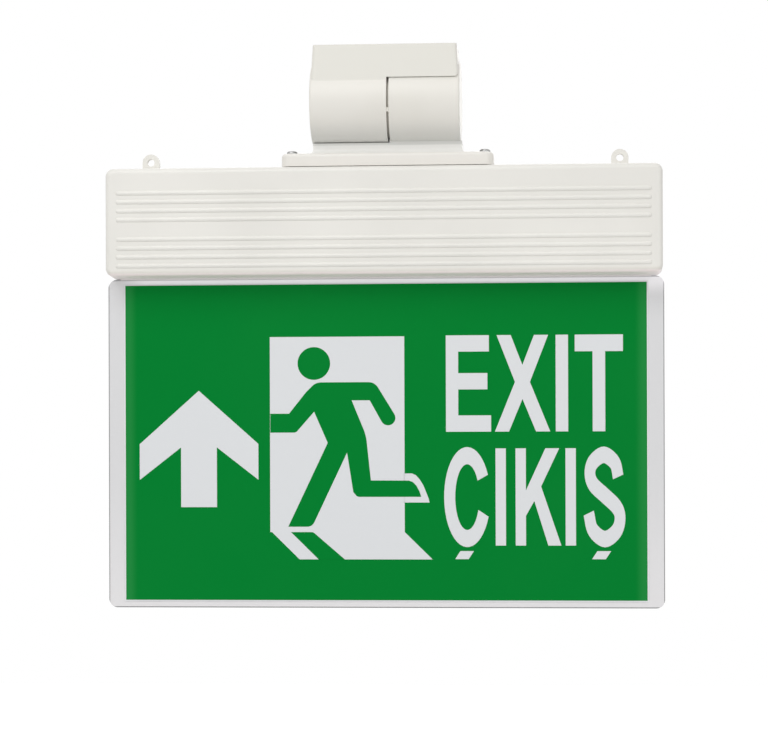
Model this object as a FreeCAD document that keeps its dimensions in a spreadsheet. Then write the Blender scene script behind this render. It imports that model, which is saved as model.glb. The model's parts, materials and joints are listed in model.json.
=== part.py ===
import FreeCAD, Part
import os

# A double-sided emergency exit light that hangs from a two-leaf knuckle bracket.
# Millimetres.  Origin: centre of the bracket's ceiling face.  X along the housing,
# Y away from the front sign face, Z up towards the ceiling.

SIZES = {
    # ceiling leaf of the bracket
    "block_width_top": 90.2,
    "block_width_low": 94.0,
    "block_depth_top": 42.0,
    "block_depth_low": 48.1,
    "block_edge_round": 2.0,
    "block_wall": 2.6,
    "barrel_drop": 35.0,
    "barrel_radius": 26.0,
    "barrel_wall": 2.8,
    "knuckle_end": 44.8,
    "knuckle_web": 3.0,
    "slit_centre": 2.0,
    "slit_width": 1.5,
    "leaf_clearance": 0.8,
    "cap_thickness": 2.2,
    "cap_round": 1.4,
    "cap_spigot": 5.0,
    # pivot
    "pivot_radius": 6.0,
    "pivot_bore": 3.8,
    "running_clearance": 0.08,
    "pivot_nut_height": 5.0,
    "pivot_nut_corner": 10.4,
    "washer_radius": 22.0,
    "washer_tab_width": 2.6,
    "washer_play": 0.1,
    "spring_washer_height": 1.2,
    # ceiling base plate
    "plate_steel": 1.6,
    "plate_clearance": 0.3,
    "ceiling_hole_spacing": 60.0,
    "ceiling_hole_radius": 2.3,
    "cable_hole_radius": 7.0,
    "cable_hole_offset": 16.0,
    "base_flange_drop": 8.4,
    "base_screw_spacing": 56.0,
    "base_screw_drop": 6.0,
    "base_screw_radius": 1.5,
    # housing leaf of the bracket
    "leaf_shift": 0.9,
    "leaf_neck_width": 94.2,
    "leaf_neck_depth": 18.0,
    "leaf_neck_reach": 31.9,
    "leaf_fillet": 3.0,
    "flange_length": 133.8,
    "flange_depth": 30.0,
    "flange_height": 8.2,
    "flange_round": 6.0,
    "flange_edge_round": 2.2,
    "flange_gap": 0.4,
    "flange_screw_spacing": 122.6,
    "flange_screw_radius": 2.0,
    "flange_head_radius": 3.5,
    "flange_head_height": 3.0,
    "wire_hole_radius": 6.0,
    "wire_hole_offset": 22.0,
    # housing
    "housing_shift": 2.0,
    "housing_width": 350.8,
    "housing_height": 69.2,
    "housing_half_depth": 22.5,
    "housing_draft": 0.7,
    "housing_corner": 5.0,
    "housing_edge_round": 3.4,
    "housing_wall": 2.2,
    "bead_radius": 1.7,
    "bead_rise": 0.85,
    "bead_inset": 7.2,
    "bead_pitch": 5.6,
    "bead_count": 4,
    "upper_bead_drop": 16.4,
    "lower_bead_drop": 45.5,
    "ear_inset": 26.4,
    "ear_radius": 5.4,
    "ear_half_thickness": 1.8,
    "ear_hole_radius": 2.3,
    "ear_hole_height": 5.2,
    "ear_fillet": 2.2,
    "lip_inset": 7.2,
    "lip_width": 2.2,
    "lip_height": 0.6,
    "slot_clearance": 0.4,
    "boss_radius": 3.5,
    "upper_boss_spacing": 200.0,
    "upper_boss_drop": 8.6,
    "lower_boss_inset": 7.8,
    "lower_boss_rise": 7.7,
    "shell_screw_radius": 1.5,
    "shell_head_radius": 2.8,
    "shell_head_height": 1.9,
    "shell_head_recess": 6.0,
    "recess_play": 0.4,
    "screw_clearance": 0.2,
    "thread_clearance": 0.05,
    # screw heads, as shares of the head's height or radius
    "head_round": 0.45,
    "cross_depth": 0.45,
    "cross_length": 1.2,
    "cross_width": 0.28,
    # light guide and its light
    "guide_overhang": 1.0,
    "guide_height": 209.1,
    "guide_thickness": 6.0,
    "guide_corner": 5.5,
    "guide_clearance": 0.2,
    "tongue_inset": 18.4,
    "tongue_height": 17.2,
    "film_margin": 10.9,
    "film_height": 200.4,
    "film_thickness": 0.25,
    "film_drop": 3.9,
    # white fields of the sign, from the middle of a film of the artwork's size
    "print_thickness": 0.12,
    "artwork_width": 331.0,
    "artwork_height": 200.4,
    "door_width": 85.6,
    "door_height": 123.9,
    "door_shift": 30.0,
    "door_rise": 66.9,
    "threshold_width": 84.5,
    "threshold_height": 17.3,
    "threshold_slant": 17.6,
    "arrow_shift": 118.4,
    "arrow_tip": 33.0,
    "arrow_height": 74.1,
    "arrow_half_width": 38.1,
    "arrow_fall": 33.9,
    "arrow_wing_tip": 22.8,
    "arrow_wing_root": 27.1,
    "arrow_shaft_width": 23.0,
    # light source
    "rail_wall": 1.5,
    "rail_overhang": 1.0,
    "led_board_thickness": 1.2,
    "led_board_inset": 8.0,
    "led_height": 1.2,
    "led_size": 3.0,
    "led_gap": 0.4,
    "led_end_margin": 15.0,
    "led_count": 16,
    "rail_screw_spacing": 110.0,
    "rail_screw_radius": 1.5,
    "rail_screw_rise": 7.2,
    "rail_head_radius": 2.7,
    "rail_head_height": 1.7,
    # what the housing holds
    "anchor_length": 150.0,
    "anchor_depth": 22.0,
    "anchor_thickness": 3.0,
    "cell_radius": 7.2,
    "cell_length": 50.0,
    "cell_neck": 6.6,
    "cell_gap": 1.2,
    "battery_inset": 25.4,
    "battery_drop": 23.0,
    "battery_offset": 10.6,
    "clip_length": 9.0,
    "clip_wall": 1.8,
    "board_length": 130.0,
    "board_height": 32.0,
    "board_thickness": 1.6,
    "board_start": 20.0,
    "board_drop": 13.0,
    "board_standoff": 3.4,
    "board_inset": 4.0,
    "standoff_radius": 2.8,
    "board_screw_radius": 1.2,
    "terminal_start": 26.0,
    "terminal_length": 30.0,
    "terminal_depth": 12.0,
    "terminal_height": 14.0,
    "terminal_entry_radius": 2.0,
    "terminal_entry_depth": 8.0,
    "terminal_pitch": 9.0,
    "terminal_count": 3,
    "transformer_start": 66.0,
    "core_length": 24.0,
    "core_depth": 17.0,
    "core_height": 22.0,
    "winding_length": 16.0,
    "winding_depth": 19.0,
    "winding_height": 26.0,
    "capacitor_start": 92.0,
    "capacitor_pitch": 14.0,
    "capacitor_count": 2,
    "capacitor_radius": 5.0,
    "capacitor_length": 16.0,
    "button_radius": 3.4,
    "button_stand": 1.2,
    "button_flange": 1.3,
    "button_collar": 1.2,
    "button_tail": 5.0,
    "button_travel": 1.2,
    "button_drop": 36.0,
    "button_offset": 9.0,
    "switch_size": 6.2,
    "switch_depth": 4.0,
    "plunger_radius": 1.7,
    "plunger_height": 1.2,
    "plunger_root": 1.0,
    "plunger_play": 0.1,
    "switch_board_height": 17.0,
    "switch_board_fall": 11.6,
    "lens_radius": 1.7,
    "lens_stand": 0.6,
    "lens_drop": 8.5,
    "lens_play": 0.2,
}

# What many pieces are placed from, as expressions on the sheet.
SLIT_LEFT = "(dims.slit_centre - dims.slit_width / 2)"
SLIT_RIGHT = "(dims.slit_centre + dims.slit_width / 2)"
BARREL_INSIDE = "(dims.barrel_radius - dims.barrel_wall)"
CAP_FACE = "(dims.knuckle_end + dims.cap_thickness)"
FLANGE_FOOT = "(dims.leaf_neck_reach + dims.flange_height)"
HOUSING_TOP = "(-dims.barrel_drop - " + FLANGE_FOOT + " - dims.flange_gap)"
LEAF_IN_HOUSING = "(dims.housing_shift + dims.leaf_shift)"
SHELL_INSIDE = "(dims.housing_half_depth - dims.housing_wall)"
END_WALL = "(dims.housing_width / 2 - dims.housing_wall)"
EAR_REACH = "(dims.housing_width / 2 - dims.ear_inset)"
BEAD_LENGTH = "(dims.housing_width - 2 * dims.bead_inset)"
LIP_LENGTH = "(dims.housing_width - 2 * dims.lip_inset)"
GUIDE_WIDTH = "(dims.housing_width + 2 * dims.guide_overhang)"
TONGUE_WIDTH = "(" + GUIDE_WIDTH + " - 2 * dims.tongue_inset)"
FILM_WIDTH = "(" + GUIDE_WIDTH + " - 2 * dims.film_margin)"
ACROSS = FILM_WIDTH + " / dims.artwork_width"
UPRIGHT = "dims.film_height / dims.artwork_height"
RAIL_LENGTH = "(" + TONGUE_WIDTH + " + 2 * dims.rail_overhang)"
LED_BOARD_LENGTH = "(" + TONGUE_WIDTH + " - 2 * dims.led_board_inset)"
LED_PITCH = "((" + LED_BOARD_LENGTH + " - 2 * dims.led_end_margin) / (dims.led_count - 1))"
GUIDE_TOP = "(-dims.housing_height - dims.guide_clearance)"
TONGUE_TOP = "(" + GUIDE_TOP + " + dims.tongue_height)"
GUIDE_FACE = "(dims.guide_thickness / 2)"
FILM_FACE = "(" + GUIDE_FACE + " + dims.film_thickness)"
FILM_MIDDLE = "(" + GUIDE_TOP + " - dims.film_drop - dims.film_height / 2)"
SLOT_HALF = "(" + GUIDE_FACE + " + dims.slot_clearance)"
RAIL_INSIDE = "(dims.guide_thickness + 2 * dims.guide_clearance)"
RAIL_WIDTH = "(" + RAIL_INSIDE + " + 2 * dims.rail_wall)"
RAIL_CEILING = "(" + TONGUE_TOP + " + dims.led_gap + dims.led_height + dims.led_board_thickness)"
RAIL_FOOT = "(dims.housing_wall + dims.guide_clearance - dims.housing_height)"
RAIL_SCREW_Z = "(" + RAIL_FOOT + " + dims.rail_screw_rise)"
BOARD_BACK = "(" + SHELL_INSIDE + " - dims.board_standoff)"
BOARD_FACE = "(" + BOARD_BACK + " - dims.board_thickness)"

ALONG = {
    "X": FreeCAD.Rotation(FreeCAD.Vector(0, 1, 0), 90),
    "Y": FreeCAD.Rotation(FreeCAD.Vector(1, 0, 0), -90),
    "Z": FreeCAD.Rotation(),
    "-Y": FreeCAD.Rotation(FreeCAD.Vector(1, 0, 0), 90),
}

doc = FreeCAD.newDocument("exit_light")
sheet = doc.addObject("Spreadsheet::Sheet", "dims")
for row, (size_name, value) in enumerate(SIZES.items(), 1):
    sheet.set("A%d" % row, size_name.replace("_", " "))
    sheet.set("B%d" % row, str(value))
    sheet.setAlias("B%d" % row, size_name)
doc.recompute()


def bind(thing, **sizes):
    """Tie each named property to an expression on the sheet."""
    for name, expression in sizes.items():
        thing.setExpression(name, expression)
    return thing


def move(thing, at, turn=None):
    """Turn a thing, then tie its place to the sheet."""
    thing.Placement = FreeCAD.Placement(FreeCAD.Vector(), turn or FreeCAD.Rotation())
    for axis, expression in zip("xyz", at):
        if expression != "0":
            thing.setExpression("Placement.Base." + axis, expression)
    return thing


class Piece:
    """One body, built from features whose sizes and places are tied to the sheet."""

    def __init__(self, name, at=("0", "0", "0"), turn=None):
        self.body = doc.addObject("PartDesign::Body", name)
        self.body.Label = name
        move(self.body, at, turn)

    def feature(self, kind, name, at, turn=None, cut=False, **sizes):
        prefix = "PartDesign::Subtractive" if cut else "PartDesign::Additive"
        made = self.body.newObject(prefix + kind, name)
        bind(made, **sizes)
        return move(made, at, turn)

    def slab(self, name, length, depth, height, at, cut=False):
        """A block centred on at in X and Y, standing on at in Z."""
        x, y, z = at
        corner = ("%s - (%s) / 2" % (x, length), "%s - (%s) / 2" % (y, depth), z)
        return self.feature("Box", name, corner, cut=cut, Length=length, Width=depth, Height=height)

    def rod(self, name, radius, length, at, axis="Z", cut=False):
        """A cylinder that starts at at and runs along axis."""
        return self.feature("Cylinder", name, at, ALONG[axis], cut, Radius=radius, Height=length)

    def fillet(self, name, radius, chosen):
        """Round the edges of the last feature that chosen says yes to."""
        doc.recompute()
        tip = self.body.Tip
        names = ["Edge%d" % (i + 1) for i, edge in enumerate(tip.Shape.Edges) if chosen(edge)]
        made = self.body.newObject("PartDesign::Fillet", name)
        made.Base = (tip, names)
        return bind(made, Radius=radius)

    def repeat(self, name, originals, role, length, count, backwards=False):
        """Repeat features in a row along one of the body's own axes."""
        axis = [f for f in self.body.Origin.OriginFeatures if f.Role == role][0]
        made = self.body.newObject("PartDesign::LinearPattern", name)
        made.Originals = originals
        made.Direction = (axis, [""])
        made.Reversed = backwards
        bind(made, Length=length, Occurrences=count)
        self.body.Tip = made
        return made


def runs_along(edge, direction, slack=0.2):
    """Whether a straight edge runs along a direction, give or take a draft."""
    way = edge.Vertexes[-1].Point - edge.Vertexes[0].Point
    if way.Length < 1e-6 or abs(edge.Length - way.Length) > 1e-6:
        return False
    return abs(abs(way.normalize().dot(direction)) - 1) < slack ** 2


def group(name, pieces):
    """Several like solids that share one node."""
    made = doc.addObject("Part::Compound", name)
    made.Label = name
    made.Links = [piece.body for piece in pieces]
    return made


def level(edge, height):
    """Whether the whole of an edge lies at one height along its body's Z axis."""
    return abs(edge.BoundBox.ZMin - height) < 1e-4 and abs(edge.BoundBox.ZMax - height) < 1e-4


def screw(name, at, axis, head_radius, head_height, radius, length):
    """A pan-head screw with a cross recess: at is under the head, and axis points out of the head."""
    piece = Piece(name, at, ALONG[axis])
    head = piece.rod("head", head_radius, head_height, ("0", "0", "0"))
    doc.recompute()
    piece.fillet("head_rim", "dims.head_round * (%s)" % head_height, lambda e: level(e, head.Height.Value))
    piece.rod("shank", radius, length, ("0", "0", "-(%s)" % length))
    cross_length = "dims.cross_length * (%s)" % head_radius
    cross_width = "dims.cross_width * (%s)" % head_radius
    floor = ("0", "0", "(1 - dims.cross_depth) * (%s)" % head_height)
    piece.slab("slot", cross_length, cross_width, head_height, floor, cut=True)
    piece.slab("cross_slot", cross_width, cross_length, head_height, floor, cut=True)
    return piece


Y_WAY = FreeCAD.Vector(0, 1, 0)
Z_WAY = FreeCAD.Vector(0, 0, 1)
AXIS = ("0", "0", "-dims.barrel_drop")
HOUSING = ("-dims.housing_shift", "0", HOUSING_TOP)


def ceiling_bracket():
    """Upper leaf: a tapered hollow block, open to the ceiling, with the left knuckle."""
    piece = Piece("ceiling_bracket")
    down = ALONG["Y"]
    piece.feature(
        "Wedge", "block", ("0", "0", "0"), down,
        Xmin="-dims.block_width_top / 2", Xmax="dims.block_width_top / 2",
        Zmin="-dims.block_depth_top / 2", Zmax="dims.block_depth_top / 2",
        Ymin="0", Ymax="dims.barrel_drop",
        X2min="-dims.block_width_low / 2", X2max="dims.block_width_low / 2",
        Z2min="-dims.block_depth_low / 2", Z2max="dims.block_depth_low / 2")
    piece.fillet("upright_edges", "dims.block_edge_round", lambda e: runs_along(e, Z_WAY))
    left = "(-dims.knuckle_end)"
    axis_z = "-dims.barrel_drop"
    piece.rod("left_cap_recess", "dims.barrel_radius + dims.plate_clearance",
              "dims.block_width_low", (left + " - dims.block_width_low", "0", axis_z), "X", cut=True)
    piece.rod("right_relief", "dims.barrel_radius + dims.leaf_clearance", "dims.block_width_low",
              (SLIT_LEFT, "0", axis_z), "X", cut=True)
    piece.rod("left_knuckle", "dims.barrel_radius", SLIT_LEFT + " + dims.knuckle_end",
              (left, "0", axis_z), "X")

    cavity = Piece("bracket_cavity")
    inside = "(dims.block_width_top - 2 * dims.block_wall)"
    inside_depth = "(dims.block_depth_top - 2 * dims.block_wall)"
    cavity.slab("space", inside, inside_depth, "dims.barrel_drop * 0.6",
                ("0", "0", "-dims.barrel_drop * 0.6"))
    cavity.rod("right_arch", "dims.barrel_radius + dims.leaf_clearance + dims.block_wall",
               "dims.block_width_low", (SLIT_LEFT + " - dims.knuckle_web", "0", axis_z), "X", cut=True)
    cavity.rod("left_arch", "dims.barrel_radius", "dims.block_width_low",
               ("-dims.block_width_low", "0", axis_z), "X", cut=True)
    hollow = piece.body.newObject("PartDesign::Boolean", "hollow")
    hollow.setObjects([cavity.body])
    hollow.Type = "Cut"

    piece.rod("knuckle_hollow", BARREL_INSIDE,
              SLIT_LEFT + " + dims.knuckle_end - dims.knuckle_web", (left, "0", axis_z), "X", cut=True)
    piece.rod("pivot_hole", "dims.pivot_radius + dims.running_clearance", "2 * dims.knuckle_web",
              (SLIT_LEFT + " - 1.5 * dims.knuckle_web", "0", axis_z), "X", cut=True)
    piece.rod("wire_way", "dims.cable_hole_radius", "dims.barrel_drop",
              ("-dims.cable_hole_offset", "0", axis_z), "Z", cut=True)
    for side in ("-1", "1"):
        place = (side + " * dims.base_screw_spacing / 2", "dims.block_depth_top / 2 - dims.block_wall * 2",
                 "-dims.base_screw_drop")
        name = "left" if side == "-1" else "right"
        piece.rod(name + "_screw_hole", "dims.base_screw_radius + dims.screw_clearance",
                  "dims.block_wall * 4", place, "Y", cut=True)
        recess = (place[0], "dims.block_depth_top / 2 - dims.block_wall / 4", place[2])
        piece.rod(name + "_head_recess", "dims.shell_head_radius + 2 * dims.screw_clearance",
                  "dims.block_wall * 2", recess, "Y", cut=True)
    return [piece.body]


def base_plate():
    """Folded steel plate that is screwed to the ceiling and carries the bracket."""
    piece = Piece("base_plate")
    depth = "(dims.block_depth_top - 2 * dims.block_wall - 2 * dims.plate_clearance)"
    piece.slab("plate", "dims.block_width_top - 2 * dims.block_wall - 2 * dims.plate_clearance",
               depth, "dims.plate_steel", ("0", "0", "-dims.plate_steel"))
    piece.slab("rear_flange", "dims.base_screw_spacing + 12 * dims.base_screw_radius",
               "dims.plate_steel", "dims.base_flange_drop",
               ("0", depth + " / 2 - dims.plate_steel / 2", "-dims.base_flange_drop"))
    piece.rod("cable_hole", "dims.cable_hole_radius", "dims.plate_steel * 3",
              ("-dims.cable_hole_offset", "0", "-dims.plate_steel * 2"), "Z", cut=True)
    for name, side in (("left", "-1"), ("right", "1")):
        piece.rod(name + "_ceiling_hole", "dims.ceiling_hole_radius", "dims.plate_steel * 3",
                  (side + " * dims.ceiling_hole_spacing / 2", "0", "-dims.plate_steel * 2"), "Z", cut=True)
        piece.rod(name + "_screw_hole", "dims.base_screw_radius + dims.thread_clearance",
                  "dims.plate_steel * 3",
                  (side + " * dims.base_screw_spacing / 2", depth + " / 2 - dims.plate_steel * 2",
                   "-dims.base_screw_drop"), "Y", cut=True)
    return [piece.body]


def bracket_screws():
    """Two screws that hold the bracket on its base plate, at the back."""
    made = []
    for name, side in (("left", "-1"), ("right", "1")):
        place = (side + " * dims.base_screw_spacing / 2", "dims.block_depth_top / 2 - dims.block_wall / 4",
                 "-dims.base_screw_drop")
        made.append(screw("bracket_screw_" + name, place, "Y", "dims.shell_head_radius",
                          "dims.shell_head_height", "dims.base_screw_radius", "dims.block_wall * 2.2"))
    return [group("bracket_screws", made)]


def end_cap(name, side):
    """Round cap with a spigot that closes one end of the barrel."""
    piece = Piece(name, AXIS)
    start = "-" + CAP_FACE if side < 0 else "dims.knuckle_end"
    piece.rod("disc", "dims.barrel_radius", "dims.cap_thickness", (start, "0", "0"), "X")
    rim_x = side * (SIZES["knuckle_end"] + SIZES["cap_thickness"])
    piece.fillet("rim", "dims.cap_round",
                 lambda e: abs(e.BoundBox.XMin - rim_x) < 1e-4 and abs(e.BoundBox.XMax - rim_x) < 1e-4)
    start = "-dims.knuckle_end" if side < 0 else "dims.knuckle_end - dims.cap_spigot"
    piece.rod("spigot", BARREL_INSIDE + " - dims.running_clearance", "dims.cap_spigot",
              (start, "0", "0"), "X")
    piece.rod("spigot_hollow", BARREL_INSIDE + " - dims.running_clearance - dims.cap_thickness",
              "dims.cap_spigot", (start, "0", "0"), "X", cut=True)
    return [piece.body]


def pivot():
    """Hollow threaded nipple with its two lock nuts, friction washer and spring washer."""
    nipple = Piece("pivot_nipple", AXIS)
    reach = "(dims.knuckle_web + 1.5 * dims.pivot_nut_height)"
    length = "2 * %s + dims.slit_width" % reach
    start = SLIT_LEFT + " - " + reach
    nipple.rod("tube", "dims.pivot_radius", length, (start, "0", "0"), "X")
    nipple.rod("tube_bore", "dims.pivot_bore", length, (start, "0", "0"), "X", cut=True)

    nuts = []
    left = SLIT_LEFT + " - dims.knuckle_web - dims.pivot_nut_height"
    right = SLIT_RIGHT + " + dims.knuckle_web + dims.washer_play + dims.spring_washer_height"
    for name, start in (("left", left), ("right", right)):
        nut = Piece("pivot_nut_" + name, AXIS)
        prism = nut.feature("Prism", "hexagon", (start, "0", "0"), ALONG["X"],
                            Circumradius="dims.pivot_nut_corner", Height="dims.pivot_nut_height")
        prism.Polygon = 6
        nut.rod("thread", "dims.pivot_radius + dims.running_clearance / 2", "dims.pivot_nut_height",
                (start, "0", "0"), "X", cut=True)
        nuts.append(nut)

    washer = Piece("friction_washer", AXIS)
    thickness = "(dims.slit_width - dims.washer_play)"
    washer.rod("disc", "dims.washer_radius", thickness, (SLIT_LEFT, "0", "0"), "X")
    washer.slab("tab", thickness, "dims.barrel_radius - dims.washer_tab_width / 2", "dims.washer_tab_width",
                (SLIT_LEFT + " + %s / 2" % thickness,
                 "-(dims.barrel_radius - dims.washer_tab_width / 2) / 2", "-3 * dims.washer_tab_width"))
    washer.rod("hole", "dims.pivot_radius + dims.running_clearance", thickness, (SLIT_LEFT, "0", "0"),
               "X", cut=True)

    spring = Piece("spring_washer", AXIS)
    start = SLIT_RIGHT + " + dims.knuckle_web + dims.washer_play"
    spring.rod("disc", "dims.pivot_nut_corner", "dims.spring_washer_height", (start, "0", "0"), "X")
    spring.rod("hole", "dims.pivot_radius + dims.running_clearance", "dims.spring_washer_height",
               (start, "0", "0"), "X", cut=True)
    return [nipple.body, group("pivot_nuts", nuts), washer.body, spring.body]


def hinge_leaf():
    """Lower leaf: the right knuckle, the neck under the barrel and the flange on the housing."""
    piece = Piece("hinge_leaf", AXIS)
    piece.slab("flange", "dims.flange_length", "dims.flange_depth", "dims.flange_height",
               ("dims.leaf_shift", "0", "-" + FLANGE_FOOT))
    piece.fillet("flange_corners", "dims.flange_round", lambda e: runs_along(e, Z_WAY))
    top = -SIZES["leaf_neck_reach"]
    piece.fillet("flange_rim", "dims.flange_edge_round",
                 lambda e: abs(e.BoundBox.ZMin - top) < 1e-4 and abs(e.BoundBox.ZMax - top) < 1e-4)
    piece.slab("neck", "dims.leaf_neck_width", "dims.leaf_neck_depth",
               "dims.leaf_neck_reach - dims.barrel_radius * 0.6",
               ("dims.leaf_shift", "0", "-dims.leaf_neck_reach"))
    foot = SIZES["leaf_neck_width"] / 2 + 1
    piece.fillet("neck_foot", "dims.leaf_fillet",
                 lambda e: abs(e.BoundBox.ZMin - top) < 1e-4 and abs(e.BoundBox.ZMax - top) < 1e-4
                 and max(abs(e.BoundBox.XMin), abs(e.BoundBox.XMax)) < foot)
    piece.rod("left_relief", "dims.barrel_radius + dims.leaf_clearance", "dims.leaf_neck_width",
              (SLIT_RIGHT + " - dims.leaf_neck_width", "0", "0"), "X", cut=True)
    piece.rod("right_cap_relief", "dims.barrel_radius + dims.running_clearance", "dims.leaf_neck_width",
              ("dims.knuckle_end", "0", "0"), "X", cut=True)
    piece.rod("right_knuckle", "dims.barrel_radius", "dims.knuckle_end - " + SLIT_RIGHT,
              (SLIT_RIGHT, "0", "0"), "X")
    piece.rod("knuckle_hollow", BARREL_INSIDE, "dims.knuckle_end",
              (SLIT_RIGHT + " + dims.knuckle_web", "0", "0"), "X", cut=True)
    piece.rod("pivot_hole", "dims.pivot_radius + dims.running_clearance", "dims.knuckle_web",
              (SLIT_RIGHT, "0", "0"), "X", cut=True)
    piece.rod("wire_way", "dims.wire_hole_radius", FLANGE_FOOT,
              ("dims.wire_hole_offset", "0", "-" + FLANGE_FOOT),
              "Z", cut=True)
    for name, side in (("left", "-1"), ("right", "1")):
        piece.rod(name + "_screw_hole", "dims.flange_screw_radius + dims.screw_clearance",
                  "dims.flange_height * 2",
                  ("dims.leaf_shift + %s * dims.flange_screw_spacing / 2" % side, "0", "-" + FLANGE_FOOT),
                  "Z", cut=True)
    return [piece.body]


def flange_screws():
    """Two pan-head screws through the flange and the housing into the anchor bar."""
    made = []
    length = "(dims.flange_height + dims.flange_gap + dims.housing_wall + dims.anchor_thickness)"
    for name, side in (("left", "-1"), ("right", "1")):
        place = ("dims.leaf_shift + %s * dims.flange_screw_spacing / 2" % side, "0",
                 "-dims.barrel_drop - dims.leaf_neck_reach")
        made.append(screw("flange_screw_" + name, place, "Z", "dims.flange_head_radius",
                          "dims.flange_head_height", "dims.flange_screw_radius", length))
    return [group("flange_screws", made)]


def shell_blank(piece, side):
    """Drafted, rounded tray, open at the parting plane."""
    turn = FreeCAD.Rotation() if side > 0 else FreeCAD.Rotation(FreeCAD.Vector(0, 0, 1), 180)
    piece.feature(
        "Wedge", "blank", ("0", "0", "0"), turn,
        Xmin="-dims.housing_width / 2", Xmax="dims.housing_width / 2",
        Zmin="-dims.housing_height", Zmax="0", Ymin="0", Ymax="dims.housing_half_depth",
        X2min="dims.housing_draft - dims.housing_width / 2",
        X2max="dims.housing_width / 2 - dims.housing_draft",
        Z2min="dims.housing_draft - dims.housing_height", Z2max="-dims.housing_draft")
    piece.fillet("corners", "dims.housing_corner", lambda e: runs_along(e, Y_WAY))
    face_y = side * SIZES["housing_half_depth"]
    piece.fillet("face_edges", "dims.housing_edge_round",
                 lambda e: abs(e.BoundBox.YMin - face_y) < 1e-4 and abs(e.BoundBox.YMax - face_y) < 1e-4)
    doc.recompute()
    tip = piece.body.Tip
    open_face = ["Face%d" % (i + 1) for i, face in enumerate(tip.Shape.Faces)
                 if abs(face.BoundBox.YMin) < 1e-4 and abs(face.BoundBox.YMax) < 1e-4]
    wall = piece.body.newObject("PartDesign::Thickness", "wall")
    wall.Base = (tip, open_face)
    wall.Reversed = True
    bind(wall, Value="dims.housing_wall")
    doc.recompute()


def shell_beads(piece, sign):
    """Two bands of round-ended beads along the face, trimmed flush inside."""
    bead_y = sign + "(dims.housing_half_depth + dims.bead_rise - dims.bead_radius)"
    straight = "(" + BEAD_LENGTH + " - 2 * dims.bead_radius)"
    for row, drop in (("upper", "dims.upper_bead_drop"), ("lower", "dims.lower_bead_drop")):
        start = ("-" + straight + " / 2", bead_y, "-" + drop)
        finish = (straight + " / 2", bead_y, "-" + drop)
        for part in ("bead", "left_bead_end", "right_bead_end"):
            label = row + "_" + part
            if part == "bead":
                first = piece.rod(label, "dims.bead_radius", straight, start, "X")
            else:
                first = piece.feature("Sphere", label, start if part.startswith("left") else finish,
                                      Radius="dims.bead_radius")
            doc.recompute()
            piece.repeat(label + "_row", [first], "Z_Axis", "dims.bead_pitch * (dims.bead_count - 1)",
                         "dims.bead_count", backwards=True)
            doc.recompute()
    piece.slab("bead_trim", BEAD_LENGTH + " + dims.bead_radius", "2 * " + SHELL_INSIDE,
               "dims.housing_height - 2 * dims.housing_wall - 2 * dims.bead_radius",
               ("0", "0", "dims.housing_wall + dims.bead_radius - dims.housing_height"), cut=True)


def shell_ears(piece, sign, out):
    """Half of each hanging ear, with flared roots on the top of the housing."""
    half = "dims.ear_half_thickness"
    for name, way in (("left", "-"), ("right", "")):
        centre = (way + EAR_REACH, "0", "dims.ear_hole_height")
        piece.slab(name + "_ear_root", "2 * dims.ear_radius", half,
                   "dims.ear_hole_height + dims.housing_wall / 2",
                   (centre[0], sign + half + " / 2", "-dims.housing_wall / 2"))
        middle = float(way + "1") * (SIZES["housing_width"] / 2 - SIZES["ear_inset"])
        piece.fillet(name + "_ear_flare", "dims.ear_fillet", lambda e: runs_along(e, Y_WAY)
                     and abs(abs(e.BoundBox.Center.x - middle) - SIZES["ear_radius"]) < 1e-3
                     and abs(e.BoundBox.Center.z) < SIZES["housing_draft"])
        piece.rod(name + "_ear", "dims.ear_radius", half, centre, out)
        piece.rod(name + "_ear_hole", "dims.ear_hole_radius", half, centre, out, cut=True)


BOSSES = (("upper", "dims.upper_boss_spacing", "-dims.upper_boss_drop"),
          ("lower", "(dims.housing_width - 2 * dims.lower_boss_inset)",
           "dims.lower_boss_rise - dims.housing_height"))


def shell_bosses(piece, side, out):
    """Screw bosses: pilot holes in the front shell, through ways and head recesses in the rear one."""
    for row, spacing, z in BOSSES:
        for name, way in (("left", "-"), ("right", "")):
            centre = (way + spacing + " / 2", "0", z)
            label = row + "_" + name
            piece.rod(label + "_boss", "dims.boss_radius", "dims.housing_half_depth - dims.housing_wall / 2",
                      centre, out)
            if side < 0:
                piece.rod(label + "_pilot", "dims.shell_screw_radius + dims.thread_clearance",
                          "dims.housing_half_depth - 2 * dims.housing_wall", centre, out, cut=True)
                continue
            piece.rod(label + "_way", "dims.shell_screw_radius + dims.screw_clearance",
                      "dims.housing_half_depth + dims.housing_wall", centre, out, cut=True)
            recess = (centre[0], "dims.housing_half_depth - dims.shell_head_recess", z)
            piece.rod(label + "_recess", "dims.shell_head_radius + dims.recess_play",
                      "dims.shell_head_recess + dims.housing_wall", recess, out, cut=True)


def shell_slot(piece, sign):
    """Lip along the underside, and the slots for the guide plate and its tongue."""
    lip_half = "(" + SLOT_HALF + " + dims.lip_width)"
    lip_foot = "-dims.housing_height - dims.lip_height"
    piece.slab("lip", LIP_LENGTH, lip_half, "dims.lip_height + dims.housing_wall / 2",
               ("0", sign + lip_half + " / 2", lip_foot))
    piece.slab("lip_slot", LIP_LENGTH, SLOT_HALF, "dims.lip_height",
               ("0", sign + SLOT_HALF + " / 2", lip_foot), cut=True)
    piece.slab("tongue_slot", TONGUE_WIDTH + " + 2 * dims.slot_clearance", SLOT_HALF,
               "dims.lip_height + 2 * dims.housing_wall",
               ("0", sign + SLOT_HALF + " / 2", lip_foot), cut=True)


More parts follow.
